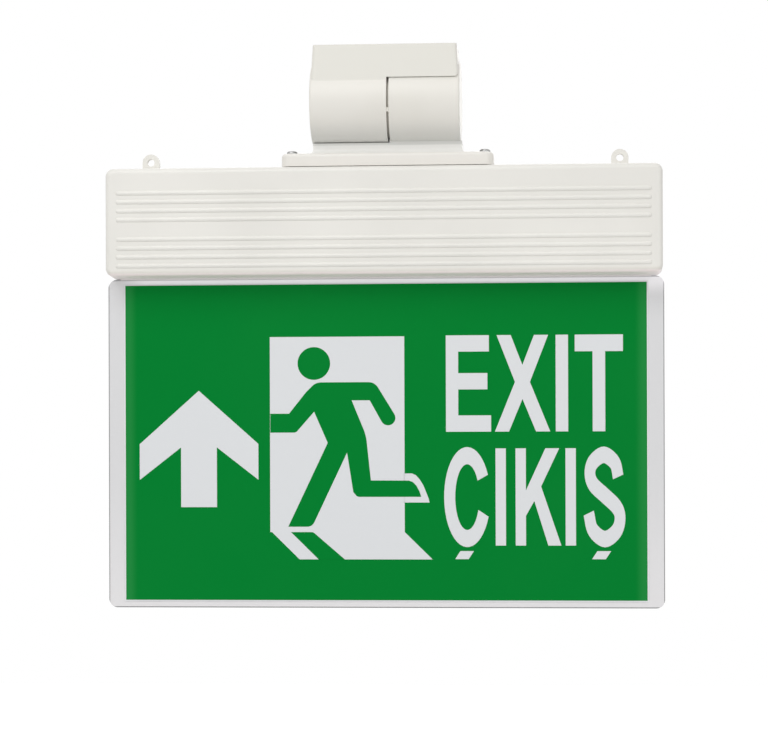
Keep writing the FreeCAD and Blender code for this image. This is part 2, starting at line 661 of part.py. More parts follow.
def shell_top_holes(piece):
    """Holes in the top wall for the flange screws and the supply wires."""
    for name, way in (("left", "-1"), ("right", "1")):
        piece.rod(name + "_flange_screw_hole", "dims.flange_screw_radius + dims.screw_clearance",
                  "3 * dims.housing_wall",
                  (LEAF_IN_HOUSING + " + %s * dims.flange_screw_spacing / 2" % way, "0",
                   "-2 * dims.housing_wall"),
                  "Z", cut=True)
    piece.rod("wire_hole", "dims.wire_hole_radius", "3 * dims.housing_wall",
              ("dims.housing_shift + dims.wire_hole_offset", "0", "-2 * dims.housing_wall"), "Z", cut=True)


def board_corners():
    """The driver board's four fixings, as places in X and Z."""
    return [(x, z) for x in ("dims.board_start + dims.board_inset",
                             "dims.board_start + dims.board_length - dims.board_inset")
            for z in ("-dims.board_drop - dims.board_inset",
                      "-dims.board_drop - dims.board_height + dims.board_inset")]


def shell_fittings(piece):
    """What only the rear shell has: the button and lens holes and the board standoffs."""
    outside = "-dims.housing_width / 2 - dims.housing_wall"
    for name, radius, drop in (
            ("button", "dims.button_radius + dims.screw_clearance", "-dims.button_drop"),
            ("lens", "dims.lens_radius + dims.thread_clearance", "-dims.button_drop - dims.lens_drop")):
        piece.rod(name + "_hole", radius, "dims.housing_wall * 3", (outside, "dims.button_offset", drop),
                  "X", cut=True)
    for index, (x, z) in enumerate(board_corners(), 1):
        piece.rod("standoff_%d" % index, "dims.standoff_radius",
                  "dims.board_standoff + dims.housing_wall / 2", (x, BOARD_BACK, z), "Y")
        piece.rod("standoff_hole_%d" % index, "dims.board_screw_radius + dims.thread_clearance",
                  "dims.board_standoff", (x, BOARD_BACK, z), "Y", cut=True)


def shell(name, side):
    """One half of the moulded housing, from the parting plane to a ribbed sign-side face."""
    piece = Piece(name, HOUSING)
    sign, out = ("", "Y") if side > 0 else ("-", "-Y")
    shell_blank(piece, side)
    shell_beads(piece, sign)
    shell_ears(piece, sign, out)
    shell_bosses(piece, side, out)
    shell_slot(piece, sign)
    shell_top_holes(piece)
    if side > 0:
        shell_fittings(piece)
    return [piece.body]


def shell_screws():
    """Four screws that close the housing from the back."""
    made = []
    length = "(2 * dims.housing_half_depth - dims.shell_head_recess - 4 * dims.housing_wall)"
    for row, spacing, z in BOSSES:
        for name, side in (("left", "-1"), ("right", "1")):
            place = ("-dims.housing_shift + %s * %s / 2" % (side, spacing),
                     "dims.housing_half_depth - dims.shell_head_recess", HOUSING_TOP + " + " + z)
            made.append(screw("shell_screw_%s_%s" % (row, name), place, "Y", "dims.shell_head_radius",
                              "dims.shell_head_height", "dims.shell_screw_radius", length))
    return [group("shell_screws", made)]


def anchor_bar():
    """Steel bar inside the top of the housing that the flange screws pull on."""
    piece = Piece("anchor_bar", HOUSING)
    top = "(-dims.housing_wall - dims.housing_draft / 2 - dims.anchor_thickness)"
    piece.slab("bar", "dims.anchor_length", "dims.anchor_depth", "dims.anchor_thickness",
               (LEAF_IN_HOUSING, "0", top))
    for name, way in (("left", "-1"), ("right", "1")):
        piece.rod(name + "_thread", "dims.flange_screw_radius + dims.thread_clearance",
                  "dims.anchor_thickness",
                  (LEAF_IN_HOUSING + " + %s * dims.flange_screw_spacing / 2" % way, "0", top), "Z", cut=True)
    piece.rod("wire_hole", "dims.wire_hole_radius", "dims.anchor_thickness",
              ("dims.housing_shift + dims.wire_hole_offset", "0", top), "Z", cut=True)
    return [piece.body]


def guide_plate():
    """Clear light-guide plate with rounded corners and a tongue that goes up the slot."""
    piece = Piece("light_guide_plate", HOUSING)
    piece.slab("plate", GUIDE_WIDTH, "dims.guide_thickness", "dims.guide_height",
               ("0", "0", GUIDE_TOP + " - dims.guide_height"))
    piece.fillet("corners", "dims.guide_corner", lambda e: runs_along(e, Y_WAY))
    piece.slab("tongue", TONGUE_WIDTH, "dims.guide_thickness", "dims.tongue_height + 1",
               ("0", "0", GUIDE_TOP + " - 1"))
    for step in ("-1", "0", "1"):
        piece.rod("screw_hole_%d" % (int(step) + 1), "dims.rail_screw_radius + dims.screw_clearance",
                  "dims.guide_thickness",
                  (step + " * dims.rail_screw_spacing", "-" + GUIDE_FACE, RAIL_SCREW_Z), "Y", cut=True)
    return [piece.body]


def films():
    """Printed sign films, one on each face of the guide plate."""
    made = []
    for name, side in (("front_film", "-1"), ("rear_film", "1")):
        piece = Piece(name, HOUSING)
        piece.slab("film", FILM_WIDTH, "dims.film_thickness", "dims.film_height",
                   ("0", side + " * (%s + dims.film_thickness / 2)" % GUIDE_FACE,
                    FILM_MIDDLE + " - dims.film_height / 2"))
        made.append(piece.body)
    return made


def white_fields():
    """White fields of the sign on each film: the doorway with its threshold, and the arrow.

    The artwork is drawn for one size of film and is stretched with it.
    """
    down = ALONG["Y"]
    sideways = FreeCAD.Rotation(FreeCAD.Vector(1, 1, 1), -120)
    layer = {"Zmin": "-%s - dims.print_thickness" % FILM_FACE, "Zmax": "-" + FILM_FACE,
             "Z2min": "-%s - dims.print_thickness" % FILM_FACE, "Z2max": "-" + FILM_FACE}
    layer_y = "-%s - dims.print_thickness / 2" % FILM_FACE

    def across(size):
        return "(%s) * %s" % (size, ACROSS)

    def upright(size):
        return "(%s) * %s" % (size, UPRIGHT)

    made = []
    ahead = FreeCAD.Rotation()
    behind = FreeCAD.Rotation(FreeCAD.Vector(0, 0, 1), 180)
    for name, turn in (("front", ahead), ("rear", behind)):
        door = Piece(name + "_doorway", HOUSING, turn)
        foot = FILM_MIDDLE + " + " + upright("dims.door_rise - dims.door_height")
        door.slab("opening", across("dims.door_width"), "dims.print_thickness", upright("dims.door_height"),
                  (across("-dims.door_shift"), layer_y, foot))
        door.feature("Wedge", "threshold",
                     (across("(dims.door_width - dims.threshold_width) / 2 - dims.door_shift"), "0", foot),
                     down,
                     Xmin=across("-dims.threshold_width / 2"), Xmax=across("dims.threshold_width / 2"),
                     Ymin="0", Ymax=upright("dims.threshold_height"),
                     X2min=across("dims.threshold_slant - dims.threshold_width / 2"),
                     X2max=across("dims.threshold_slant + dims.threshold_width / 2"), **layer)

        arrow = Piece(name + "_arrow", HOUSING, turn)
        place = (across("-dims.arrow_shift"), "0", FILM_MIDDLE + " + " + upright("dims.arrow_tip"))
        root = {"min": upright("-dims.arrow_wing_root"), "max": "0"}
        wing = {"min": upright("-dims.arrow_fall - dims.arrow_wing_tip"), "max": upright("-dims.arrow_fall")}
        half = across("dims.arrow_half_width")
        for label, y_min, y_max, near, far in (("left_wing", "-" + half, "0", wing, root),
                                               ("right_wing", "0", half, root, wing)):
            arrow.feature("Wedge", label, place, sideways, Ymin=y_min, Ymax=y_max,
                          Xmin=near["min"], Xmax=near["max"], X2min=far["min"], X2max=far["max"], **layer)
        arrow.slab("shaft", across("dims.arrow_shaft_width"), "dims.print_thickness",
                   upright("dims.arrow_height - dims.arrow_wing_root / 2"),
                   (place[0], layer_y, place[2] + " - " + upright("dims.arrow_height")))
        made.append(group(name + "_print", [door, arrow]))
    return made


def light_source():
    """Aluminium channel over the tongue, with the LED board under its roof, and its screws."""
    rail = Piece("led_rail", HOUSING)
    rail.slab("channel", RAIL_LENGTH, RAIL_WIDTH, RAIL_CEILING + " + dims.rail_wall - " + RAIL_FOOT,
              ("0", "0", RAIL_FOOT))
    rail.slab("groove", RAIL_LENGTH, RAIL_INSIDE, RAIL_CEILING + " - " + RAIL_FOOT,
              ("0", "0", RAIL_FOOT), cut=True)
    screws = []
    for step in ("-1", "0", "1"):
        place = (step + " * dims.rail_screw_spacing", "-%s / 2" % RAIL_WIDTH, RAIL_SCREW_Z)
        rail.rod("screw_hole_%d" % (int(step) + 1), "dims.rail_screw_radius + dims.screw_clearance",
                 RAIL_WIDTH, place, "Y", cut=True)
        at = ("-dims.housing_shift + " + place[0], place[1], HOUSING_TOP + " + " + RAIL_SCREW_Z)
        screws.append(screw("rail_screw_%d" % (int(step) + 1), at, "-Y", "dims.rail_head_radius",
                            "dims.rail_head_height", "dims.rail_screw_radius",
                            RAIL_WIDTH + " + dims.rail_head_height"))
        nut = Piece("rail_nut_%d" % (int(step) + 1), (at[0], RAIL_WIDTH + " / 2", at[2]))
        prism = nut.feature("Prism", "hexagon", ("0", "0", "0"), ALONG["Y"],
                            Circumradius="dims.rail_head_radius * 1.1", Height="dims.rail_head_height")
        prism.Polygon = 6
        nut.rod("thread", "dims.rail_screw_radius + dims.thread_clearance", "dims.rail_head_height",
                ("0", "0", "0"), "Y", cut=True)
        screws.append(nut)
    board = Piece("led_board", HOUSING)
    board.slab("board", LED_BOARD_LENGTH, RAIL_INSIDE, "dims.led_board_thickness",
               ("0", "0", RAIL_CEILING + " - dims.led_board_thickness"))
    leds = []
    for index in range(int(SIZES["led_count"])):
        led = Piece("led_%d" % (index + 1), HOUSING)
        led.slab("package", "dims.led_size", "dims.led_size", "dims.led_height",
                 ("(%d - (dims.led_count - 1) / 2) * %s" % (index, LED_PITCH), "0",
                  TONGUE_TOP + " + dims.led_gap"))
        leds.append(led)
    return [rail.body, board.body, group("led_chips", leds), group("rail_screws", screws)]


def battery():
    """Three-cell battery stick, shrink-wrapped, in two cradles on the rear shell."""
    place = ("-dims.housing_shift", "dims.battery_offset", HOUSING_TOP + " - dims.battery_drop")
    pack = Piece("battery_pack", place)
    start = "(dims.battery_inset - dims.housing_width / 2)"
    length = "(dims.cell_length + dims.cell_gap)"
    pack.rod("core", "dims.cell_neck", "3 * dims.cell_length + 2 * dims.cell_gap", (start, "0", "0"), "X")
    for index in range(3):
        pack.rod("cell_%d" % (index + 1), "dims.cell_radius", "dims.cell_length",
                 (start + " + %d * %s" % (index, length), "0", "0"), "X")
    cradles = []
    back = "(" + SHELL_INSIDE + " - dims.battery_offset)"
    for index, spot in enumerate(("0.5", "2.5")):
        cradle = Piece("cradle_%d" % (index + 1), place)
        centre = start + " + %s * %s" % (spot, length)
        cradle.slab("block", "dims.clip_length", back, "2 * (dims.cell_radius + dims.clip_wall)",
                    (centre, back + " / 2", "-dims.cell_radius - dims.clip_wall"))
        cradle.rod("seat", "dims.cell_radius + dims.running_clearance", "2 * dims.clip_length",
                   (centre + " - dims.clip_length", "0", "0"), "X", cut=True)
        cradles.append(cradle)
    return [pack.body, group("battery_cradles", cradles)]


def electronics():
    """Driver board on its standoffs, with the parts that it carries."""
    board = Piece("driver_board", HOUSING)
    board.slab("board", "dims.board_length", "dims.board_thickness", "dims.board_height",
               ("dims.board_start + dims.board_length / 2", BOARD_BACK + " - dims.board_thickness / 2",
                "-dims.board_drop - dims.board_height"))
    screws = []
    for index, (x, z) in enumerate(board_corners(), 1):
        board.rod("hole_%d" % index, "dims.board_screw_radius + dims.screw_clearance",
                  "dims.board_thickness", (x, BOARD_FACE, z), "Y", cut=True)
        at = ("-dims.housing_shift + " + x, BOARD_FACE, HOUSING_TOP + " + " + z)
        screws.append(screw("board_screw_%d" % index, at, "-Y", "2 * dims.board_screw_radius",
                            "dims.board_screw_radius", "dims.board_screw_radius",
                            "dims.board_thickness + dims.board_standoff * 0.9"))
    middle = "(-dims.board_drop - dims.board_height / 2)"

    def on_board(piece, name, start, length, depth, height):
        piece.slab(name, length, depth, height,
                   ("dims.board_start + " + start, "%s - %s / 2" % (BOARD_FACE, depth),
                    "%s - %s / 2" % (middle, height)))

    terminal = Piece("terminal_block", HOUSING)
    on_board(terminal, "body", "dims.terminal_start", "dims.terminal_length", "dims.terminal_depth",
             "dims.terminal_height")
    for index in range(int(SIZES["terminal_count"])):
        x = ("dims.board_start + dims.terminal_start"
             " + (%d - (dims.terminal_count - 1) / 2) * dims.terminal_pitch")
        terminal.rod("entry_%d" % (index + 1), "dims.terminal_entry_radius", "dims.terminal_entry_depth",
                     (x % index, BOARD_FACE + " - dims.terminal_depth / 2",
                      middle + " + dims.terminal_height / 2 - dims.terminal_entry_depth"), "Z", cut=True)

    transformer = Piece("transformer", HOUSING)
    on_board(transformer, "core", "dims.transformer_start", "dims.core_length", "dims.core_depth",
             "dims.core_height")
    on_board(transformer, "winding", "dims.transformer_start", "dims.winding_length", "dims.winding_depth",
             "dims.winding_height")

    cans = []
    for index in range(int(SIZES["capacitor_count"])):
        can = Piece("capacitor_%d" % (index + 1), HOUSING)
        can.rod("can", "dims.capacitor_radius", "dims.capacitor_length",
                ("dims.board_start + dims.capacitor_start + %d * dims.capacitor_pitch" % index,
                 BOARD_FACE, middle), "-Y")
        cans.append(can)
    return [board.body, group("board_screws", screws), terminal.body, transformer.body,
            group("capacitors", cans)]


def test_switch():
    """Push button in the end wall, the sealed switch behind it and the status light."""
    place = ("-dims.housing_shift", "dims.button_offset", HOUSING_TOP + " - dims.button_drop")
    outside = "(-dims.housing_width / 2)"
    button = Piece("test_button", place)
    stem = "(dims.button_stand + dims.housing_wall + dims.button_flange + dims.button_tail)"
    button.rod("stem", "dims.button_radius", stem, (outside + " - dims.button_stand", "0", "0"), "X")
    button.rod("collar", "dims.button_radius + dims.button_collar", "dims.button_flange",
               ("-" + END_WALL + " + dims.housing_draft", "0", "0"), "X")
    stem_end = "(%s - dims.button_stand + %s)" % (outside, stem)
    plunger_x = "(%s + dims.button_travel + dims.plunger_play)" % stem_end

    switch = Piece("switch", place)
    switch.rod("plunger", "dims.plunger_radius", "dims.plunger_height + dims.plunger_root",
               (plunger_x, "0", "0"), "X")
    switch.slab("case", "dims.switch_depth", "dims.switch_size", "dims.switch_size",
                (plunger_x + " + dims.plunger_height + dims.switch_depth / 2", "0", "-dims.switch_size / 2"))
    board_x = "(%s + dims.plunger_height + dims.switch_depth)" % plunger_x
    board = Piece("switch_board", place)
    board.slab("board", "dims.board_thickness", "(2 * (%s - dims.button_offset))" % SHELL_INSIDE,
               "dims.switch_board_height",
               (board_x + " + dims.board_thickness / 2", "0", "-dims.switch_board_fall"))
    lens = Piece("status_lens", place)
    lens.rod("lens", "dims.lens_radius", "dims.lens_stand + dims.housing_wall",
             (outside + " - dims.lens_stand", "0", "-dims.lens_drop"), "X")
    led = Piece("status_led", place)
    led.rod("led", "dims.lens_radius", "%s + %s - dims.lens_play" % (board_x, END_WALL),
            ("-" + END_WALL + " + dims.lens_play", "0", "-dims.lens_drop"), "X")
    return [button.body, switch.body, board.body, lens.body, led.body]


nodes = []
nodes += ceiling_bracket()
nodes += base_plate()
nodes += bracket_screws()
nodes += end_cap("left_end_cap", -1)
nodes += end_cap("right_end_cap", 1)
nodes += pivot()
nodes += hinge_leaf()
nodes += flange_screws()
nodes += shell("front_shell", -1)
nodes += shell("rear_shell", 1)
nodes += shell_screws()
nodes += anchor_bar()
nodes += guide_plate()
nodes += films()
nodes += white_fields()
nodes += light_source()
nodes += battery()
nodes += electronics()
nodes += test_switch()
doc.recompute()

for thing in doc.Objects:
    if "Invalid" in thing.State or "Error" in thing.State:
        raise RuntimeError("%s is %s" % (thing.Name, thing.State))
os.makedirs("parts", exist_ok=True)
for node in nodes:
    shape = node.Shape
    if shape.isNull() or not shape.isValid() or not shape.Solids:
        raise RuntimeError("%s has no valid solid" % node.Label)
    box = shape.BoundBox
    print("%-18s %2d solids %10.1f mm3  x %7.2f %7.2f  y %6.2f %6.2f  z %7.2f %7.2f" % (
        node.Label, len(shape.Solids), shape.Volume,
        box.XMin, box.XMax, box.YMin, box.YMax, box.ZMin, box.ZMax))
    shape.exportStep(os.path.join("parts", node.Label + ".step"))
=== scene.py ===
"""Looks of a double-sided emergency exit light that hangs from a swivel bracket.

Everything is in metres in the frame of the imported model: X along the housing, Y from the
front sign face to the rear one, Z up, with the origin on the bracket's ceiling face. The
sign's artwork is drawn in millimetres from the middle of its film.
"""
import json
import math

import bpy
from mathutils import Matrix, Vector


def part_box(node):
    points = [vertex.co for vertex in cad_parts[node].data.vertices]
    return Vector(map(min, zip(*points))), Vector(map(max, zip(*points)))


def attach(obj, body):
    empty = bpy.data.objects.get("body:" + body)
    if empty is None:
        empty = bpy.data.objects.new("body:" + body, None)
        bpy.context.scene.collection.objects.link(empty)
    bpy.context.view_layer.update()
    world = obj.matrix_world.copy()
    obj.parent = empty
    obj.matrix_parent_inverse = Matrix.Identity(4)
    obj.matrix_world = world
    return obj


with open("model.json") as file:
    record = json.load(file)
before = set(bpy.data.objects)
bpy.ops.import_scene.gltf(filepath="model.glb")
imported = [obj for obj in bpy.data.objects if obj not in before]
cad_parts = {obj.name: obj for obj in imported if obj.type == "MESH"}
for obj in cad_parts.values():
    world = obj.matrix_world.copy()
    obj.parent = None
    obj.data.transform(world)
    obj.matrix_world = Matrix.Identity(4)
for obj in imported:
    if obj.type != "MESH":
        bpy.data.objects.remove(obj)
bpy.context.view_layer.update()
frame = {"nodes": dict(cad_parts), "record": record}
MM = 0.001
DARK = (0, 0, 0, 1)
LIGHT = (1, 1, 1, 1)


# ---------------------------------------------------------------- shading

class Wire:
    """An output of a node; sums on it add Math nodes."""

    def __init__(self, shading, socket):
        self.shading = shading
        self.socket = socket

    def __add__(self, other):
        return combine("ADD", self, other)

    def __sub__(self, other):
        return combine("SUBTRACT", self, other)

    def __mul__(self, other):
        return combine("MULTIPLY", self, other)

    def __truediv__(self, other):
        return combine("DIVIDE", self, other)

    def __rsub__(self, other):
        return combine("SUBTRACT", other, self)

    def __rtruediv__(self, other):
        return combine("DIVIDE", other, self)

    __radd__ = __add__
    __rmul__ = __mul__

    def size(self):
        """The value without its sign."""
        return combine("ABSOLUTE", self)

    def step(self, start, end):
        """0 up to start, 1 from end, smooth between; start may be the higher one."""
        if start > end:
            return 1.0 - self.step(end, start)
        return self.shading.node("ShaderNodeMapRange", {"interpolation_type": "SMOOTHSTEP"},
                                 {"Value": self, "From Min": start, "From Max": end})


def combine(operation, *values):
    """A Math node on values, at least one of which is a wire."""
    shading = next(value.shading for value in values if isinstance(value, Wire))
    return shading.node("ShaderNodeMath", {"operation": operation}, dict(enumerate(values)))


class Shading:
    """The nodes of a material or of the world."""

    def __init__(self, tree):
        self.tree = tree

    def join(self, socket, value):
        """Links a wire to a socket, or gives the socket a plain value."""
        if isinstance(value, Wire):
            self.tree.links.new(value.socket, socket)
        else:
            socket.default_value = value

    def node(self, kind, settings, sockets, out=0):
        """Adds a node: its settings first, then its sockets, by name or place.

        Gives the wire of one output, or a list of them for a tuple of outputs."""
        made = self.tree.nodes.new(kind)
        for name, value in settings.items():
            setattr(made, name, value)
        for key, value in sockets.items():
            self.join(made.inputs[key], value)
        if isinstance(out, tuple):
            return [Wire(self, made.outputs[key]) for key in out]
        return Wire(self, made.outputs[out])

    def background_rays(self):
        """1 for rays that show the background, to the camera, in reflections or through clear parts."""
        rays = self.node("ShaderNodeLightPath", {}, {},
                         out=("Is Camera Ray", "Is Glossy Ray", "Is Transmission Ray"))
        return combine("MINIMUM", rays[0] + rays[1] + rays[2], 1.0)


class Finish(Shading):
    """A named material, built round one Principled shader."""

    def __init__(self, name, **constants):
        self.material = bpy.data.materials.new(name)
        self.material.use_nodes = True
        super().__init__(self.material.node_tree)
        self.set(**constants)

    def set(self, **values):
        """Values or wires for the shader's sockets, such as Base_Color."""
        shader = self.tree.nodes["Principled BSDF"]
        for name, value in values.items():
            self.join(shader.inputs[name.replace("_", " ")], value)

    def axes(self, vector):
        return self.node("ShaderNodeSeparateXYZ", {}, {"Vector": vector}, out=("X", "Y", "Z"))

    def place(self):
        """Object coordinates, and their X, Y and Z."""
        where = self.node("ShaderNodeTexCoord", {}, {}, out="Object")
        return where, self.axes(where)

    def facing_y(self):
        """How far the surface faces along Y, to the front or the rear, from 0 to 1."""
        _, along_y, _ = self.axes(self.node("ShaderNodeTexCoord", {}, {}, out="Normal"))
        return along_y.size()

    def noise(self, where, scale, detail=2.0, roughness=0.5):
        return self.node("ShaderNodeTexNoise", {},
                         {"Vector": where, "Scale": scale, "Detail": detail, "Roughness": roughness})

    def blend(self, factor, first, second):
        """A colour between two, by a factor from 0 to 1."""
        first_colour, second_colour, mixed_colour = 6, 7, 2
        return self.node("ShaderNodeMix", {"data_type": "RGBA"},
                         {0: factor, first_colour: first, second_colour: second}, out=mixed_colour)

    def bump(self, height, distance):
        return self.node("ShaderNodeBump", {}, {"Strength": 1.0, "Distance": distance, "Height": height})


def colour(red, green, blue):
    """A colour given as it looks on a screen, 0 to 255, as the linear values that a shader takes."""
    def linear(level):
        level /= 255
        return level / 12.92 if level <= 0.04045 else ((level + 0.055) / 1.055) ** 2.4
    return (linear(red), linear(green), linear(blue), 1.0)


# ---------------------------------------------------------------- finishes

def moulded(name, base, shade, roughness, painted_shading_bands, seam=0.0):
    """Satin moulded plastic: faint cloudiness and a fine spark-eroded grain.

    Each painted shading band is a colour, painted light or painted shade, that takes over between two
    heights, all round or on upright faces alone;
    a seam darkens the parting line."""
    seam_edge, seam_core = 0.28 * MM, 0.12 * MM
    finish = Finish(name, IOR=1.48)
    where, (_, y, z) = finish.place()
    clouds = finish.noise(where, 14.0, 3.0)
    grain = finish.noise(where, 1400.0, 2.0, 0.6)
    ripple = finish.noise(where, 60.0, 1.0)
    face = finish.blend(clouds.step(0.3, 0.7), shade, base)
    upright = finish.facing_y().step(0.6, 0.95)
    # Painted light and shade, band by band, over the plastic's own colour.
    for start, end, amount, painted_shading_colour, upright_only in painted_shading_bands:
        reach = z.step(start, end) * amount
        face = finish.blend(reach * upright if upright_only else reach, face, painted_shading_colour)
    if seam:
        face = finish.blend(y.size().step(seam_edge, seam_core) * seam, face, colour(120, 118, 112))
    finish.set(Base_Color=face, Roughness=roughness + (grain - 0.5) * 0.12,
               Normal=finish.bump(grain + ripple * 0.6, 0.012 * MM))
    return finish.material


def plated(name, base, roughness):
    """Bare or plated metal with a faint crystalline mottle."""
    finish = Finish(name, Metallic=1.0)
    where, _ = finish.place()
    mottle = finish.noise(where, 900.0, 3.0, 0.7)
    finish.set(Base_Color=finish.blend(mottle, base, colour(150, 150, 150)),
               Roughness=roughness + (mottle - 0.5) * 0.2,
               Normal=finish.bump(mottle, 0.01 * MM))
    return finish.material


def clear_plate(name, low, high, sign_top, lip_foot):
    """Polished clear acrylic over a pale ground, with painted light and shade: painted shade darker towards
    the top, a painted glow that fills the housing's shadow along the top margin, and painted dark lines along
    the refracting cut edges and under the housing's lip.
    """
    finish = Finish(name, IOR=1.49, Transmission_Weight=0.1, Coat_Weight=0.4, Coat_Roughness=0.04,
                    Emission_Strength=1.0)
    where, (x, _, z) = finish.place()
    # Painted shade: the plate is darker from its middle up towards the housing.
    height_share = (z - low.z) / (sign_top - low.z)
    face = finish.blend(height_share.step(-0.1, 0.5), colour(240, 238, 239), colour(227, 227, 228))
    haze = finish.noise(where, 22.0, 2.0)
    face = finish.blend(haze * 0.25, face, colour(222, 221, 224))

    middle, half_width = (high.x + low.x) / 2, (high.x - low.x) / 2
    # Painted dark lines where the cut side and foot edges refract, and painted shade on the plate just under
    # the housing's lip.
    side_edges = (x - middle).size().step(half_width - 0.7 * MM, half_width - 0.3 * MM)
    foot_edge = (z - low.z).step(0.8 * MM, 0.4 * MM)
    painted_shade_under_lip = (z - lip_foot).step(-0.55 * MM, -0.25 * MM) * 0.8
    rim = combine("MAXIMUM", combine("MAXIMUM", side_edges, painted_shade_under_lip), foot_edge)
    face = finish.blend(rim, face, colour(126, 126, 127))
    cut_faces = finish.facing_y().step(0.7, 0.4)

    # Painted light: the glow fills the housing's shadow on the plate's top margin and fades out at the left
    # end, which the key lamp already lights.
    painted_glow_below, painted_glow_above, painted_glow_fade = 10 * MM, 1 * MM, 26 * MM
    glow = z.step(sign_top - painted_glow_below, sign_top + painted_glow_above) * (x - low.x).step(0.0, painted_glow_fade)
    polish = finish.noise(where, 1600.0, 1.0)
    finish.set(Base_Color=finish.blend(cut_faces, face, colour(219, 223, 223)),
               Emission_Color=finish.blend(glow, DARK, (0.215, 0.205, 0.215, 1)),
               Roughness=0.14 + polish * 0.05)
    return finish.material


def printed(name, base, edge, roughness, low, high):
    """Screen-printed film: even ink, drawn a little lighter towards the film's ends."""
    fade_start, fade_end = 8 * MM, 2 * MM
    finish = Finish(name, IOR=1.45, Specular_IOR_Level=0.05)
    where, (x, _, _) = finish.place()
    middle, half_width = (high.x + low.x) / 2, (high.x - low.x) / 2
    ends = (x - middle).size().step(half_width - fade_start, half_width - fade_end)
    grain = finish.noise(where, 2600.0, 1.0)
    patch = finish.noise(where, 9.0, 2.0)
    finish.set(Base_Color=finish.blend(ends * 0.75 + (patch - 0.45) * 0.2, base, edge),
               Roughness=roughness + (grain - 0.5) * 0.1,
               Normal=finish.bump(grain, 0.004 * MM))
    return finish.material


def plain(name, base, roughness, **constants):
    """Small parts: one colour with a slight variation and a fine grain."""
    finish = Finish(name, **constants)
    where, _ = finish.place()
    mottle = finish.noise(where, 220.0, 3.0)
    darker = tuple(level * 0.86 for level in base[:3]) + (1.0,)
    finish.set(Base_Color=finish.blend(mottle, base, darker), Roughness=roughness + (mottle - 0.5) * 0.1,
               Normal=finish.bump(mottle, 0.01 * MM))
    return finish.material


# ---------------------------------------------------------------- outlines, in millimetres

def arc(centre, radius, start, end, steps):
    """Points on an arc, from angle start to angle end in degrees."""
    points = []
    for index in range(steps + 1):
        angle = math.radians(start + (end - start) * index / steps)
        points.append((centre[0] + radius * math.cos(angle), centre[1] + radius * math.sin(angle)))
    return points


def rounded(corners, steps=6):
    """An outline from corners (x, z) or (x, z, radius)."""
    outline = []
    for index, corner in enumerate(corners):
        here = Vector(corner[:2])
        if len(corner) < 3:
            outline.append(tuple(here))
            continue
        radius = corner[2]
        before = (Vector(corners[index - 1][:2]) - here).normalized()
        after = (Vector(corners[(index + 1) % len(corners)][:2]) - here).normalized()
        half = before.angle(after) / 2
        centre = here + (before + after).normalized() * (radius / math.sin(half))
        first = here + before * (radius / math.tan(half)) - centre
        sweep = math.pi - 2 * half
        turn = 1 if first.x * after.y - first.y * after.x > 0 else -1
        for step in range(steps + 1):
            outline.append(tuple(centre + Matrix.Rotation(turn * sweep * step / steps, 2) @ first))
    return outline


def block(left, bottom, right, top):
    return [(left, bottom), (right, bottom), (right, top), (left, top)]


def flat_shape(name, outlines, thickness):
    """Filled outlines, in millimetres, as one thin mesh that stands off the XZ plane, towards -Y.

    An outline inside another one is a hole in it."""
    data = bpy.data.curves.new(name, "CURVE")
    data.dimensions = "2D"
    data.fill_mode = "BOTH"
    data.extrude = thickness / 2
    for outline in outlines:
        spline = data.splines.new("POLY")
        spline.points.add(len(outline) - 1)
        for point, (x, z) in zip(spline.points, outline):
            point.co = (x * MM, z * MM, 0, 1)
        spline.use_cyclic_u = True
    holder = bpy.data.objects.new(name, data)
    bpy.context.collection.objects.link(holder)
    mesh = bpy.data.meshes.new_from_object(holder.evaluated_get(bpy.context.evaluated_depsgraph_get()))
    bpy.data.objects.remove(holder)
    mesh.transform(Matrix.Rotation(math.pi / 2, 4, "X"))
    mesh.transform(Matrix.Translation((0, -thickness / 2, 0)))
    return mesh


# ---------------------------------------------------------------- letters

ROUND_STRETCH = 1.55  # how much taller than wide a round letter's stroke is drawn


def letter_e(left, bottom, width, height, stem, arm):
    """An E whose upper arms are a little shorter than its foot."""
    top = bottom + height
    right_of_stem = left + stem
    middle = bottom + 0.523 * height
    middle_end = left + 0.92 * width
    top_end = left + 0.955 * width
    return [(left, bottom), (left + width, bottom), (left + width, bottom + arm),
            (right_of_stem, bottom + arm), (right_of_stem, middle - arm / 2),
            (middle_end, middle - arm / 2), (middle_end, middle + arm / 2), (right_of_stem, middle + arm / 2),
            (right_of_stem, top - arm), (top_end, top - arm), (top_end, top), (left, top)]


def letter_x(left, bottom, width, height, stroke, waist):
    """An X whose top is a little narrower than its foot."""
    right, top = left + width, bottom + height
    centre_x, centre_z = left + width / 2, bottom + 0.513 * height
    notch = 0.176 * height
    narrower = 0.034 * width
    return [(left, bottom), (left + stroke, bottom), (centre_x, centre_z - notch), (right - stroke, bottom),
            (right, bottom), (centre_x + waist / 2, centre_z), (right - narrower, top),
            (right - stroke - narrower, top), (centre_x, centre_z + notch), (left + stroke + narrower, top),
            (left + narrower, top), (centre_x - waist / 2, centre_z)]


def letter_t(left, bottom, width, height, stem, arm):
    right, top = left + width, bottom + height
    stem_left, stem_right = left + (width - stem) / 2, left + (width + stem) / 2
    return [(stem_left, bottom), (stem_right, bottom), (stem_right, top - arm), (right, top - arm),
            (right, top), (left, top), (left, top - arm), (stem_left, top - arm)]


def letter_k(left, bottom, width, height, stem):
    """A K whose leg branches off its arm."""
    right, top = left + width, bottom + height
    right_of_stem = left + stem
    arm_foot, arm_top = bottom + 0.306 * height, bottom + 0.566 * height
    leg_inside = (left + 0.41 * width, bottom + 0.458 * height)
    leg_outside = (left + 0.56 * width, bottom + 0.607 * height)
    leg_end, arm_start, arm_end = left + 0.715 * width, left + 0.655 * width, left + 0.957 * width
    return [(left, bottom), (right_of_stem, bottom), (right_of_stem, arm_foot), leg_inside,
            (leg_end, bottom), (right, bottom), leg_outside, (arm_end, top),
            (arm_start, top), (right_of_stem, arm_top), (right_of_stem, top), (left, top)]


